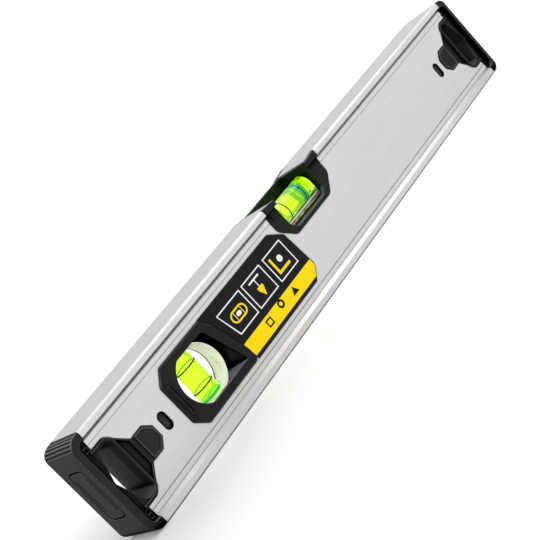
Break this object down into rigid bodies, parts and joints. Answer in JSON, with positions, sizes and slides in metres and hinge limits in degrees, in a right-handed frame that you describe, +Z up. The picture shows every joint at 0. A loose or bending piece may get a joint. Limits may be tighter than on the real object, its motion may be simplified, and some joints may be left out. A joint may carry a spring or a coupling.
{
  "type": "box beam level",
  "caption": "Aluminium box beam spirit level with a level vial in its top edge, a plumb vial in its web and clip-on end caps with hang holes.",
  "frame": {"origin": "centre of the level's footprint, on the plane of its lower working face", "axes": "+X along the beam, the plumb vial at -X; the label's side faces -Y; +Z up, with the level resting on its lower working face"},
  "size_m": [0.4, 0.032, 0.06],
  "materials": {
    "beam_alloy": "fine linear satin, brushed along the beam",
    "cap_plastic": "moulded black, fine grain",
    "latch_plastic": "moulded charcoal, fine ribs",
    "frame_plastic": "moulded black, smooth satin",
    "clear_acrylic": "clear, polished",
    "lime_spirit": "fluorescent yellow-green liquid",
    "ring_ink": "black",
    "band_green": "deep green",
    "bubble_air": "air",
    "label_film": "printed film, satin"
  },
  "bodies": {
    "body": {"beam": "beam_alloy", "left_end_cap": "cap_plastic", "right_end_cap": "cap_plastic", "plumb_front_bezel": "frame_plastic", "plumb_back_bezel": "frame_plastic", "plumb_block": "clear_acrylic", "plumb_plug": "clear_acrylic", "plumb_spirit": "lime_spirit", "plumb_rings": "ring_ink", "plumb_band": "band_green", "level_front_frame": "frame_plastic", "level_back_frame": "frame_plastic", "level_block": "clear_acrylic", "level_plug": "clear_acrylic", "level_spirit": "lime_spirit", "level_rings": "ring_ink", "level_band": "band_green", "label": "label_film"},
    "left_front_latch": {"left_front_latch": "latch_plastic"},
    "left_back_latch": {"left_back_latch": "latch_plastic"},
    "right_front_latch": {"right_front_latch": "latch_plastic"},
    "right_back_latch": {"right_back_latch": "latch_plastic"},
    "plumb_bubble": {"plumb_bubble": "bubble_air"},
    "level_bubble": {"level_bubble": "bubble_air"}
  },
  "joints": [
    {"name": "left_front_press", "type": "hinge", "parent": "body", "child": "left_front_latch", "pos_m": [-0.1729, -0.0121, 0.03], "axis": [0, 0, 1], "range_deg": [0, 6], "stiffness_Nm_per_rad": 0.8},
    {"name": "left_back_press", "type": "hinge", "parent": "body", "child": "left_back_latch", "pos_m": [-0.1729, 0.0121, 0.03], "axis": [0, 0, -1], "range_deg": [0, 6], "stiffness_Nm_per_rad": 0.8},
    {"name": "right_front_press", "type": "hinge", "parent": "body", "child": "right_front_latch", "pos_m": [0.1729, -0.0121, 0.03], "axis": [0, 0, -1], "range_deg": [0, 6], "stiffness_Nm_per_rad": 0.8},
    {"name": "right_back_press", "type": "hinge", "parent": "body", "child": "right_back_latch", "pos_m": [0.1729, 0.0121, 0.03], "axis": [0, 0, 1], "range_deg": [0, 6], "stiffness_Nm_per_rad": 0.8},
    {"name": "plumb_bubble_travel", "type": "slide", "parent": "body", "child": "plumb_bubble", "axis": [0, 0, -1], "range_m": [0, 0.014], "stiffness_N_per_m": 3, "springref_m": -0.002},
    {"name": "level_bubble_travel", "type": "slide", "parent": "body", "child": "level_bubble", "axis": [1, 0, 0], "range_m": [-0.0065, 0.0065], "stiffness_N_per_m": 0.5}
  ]
}
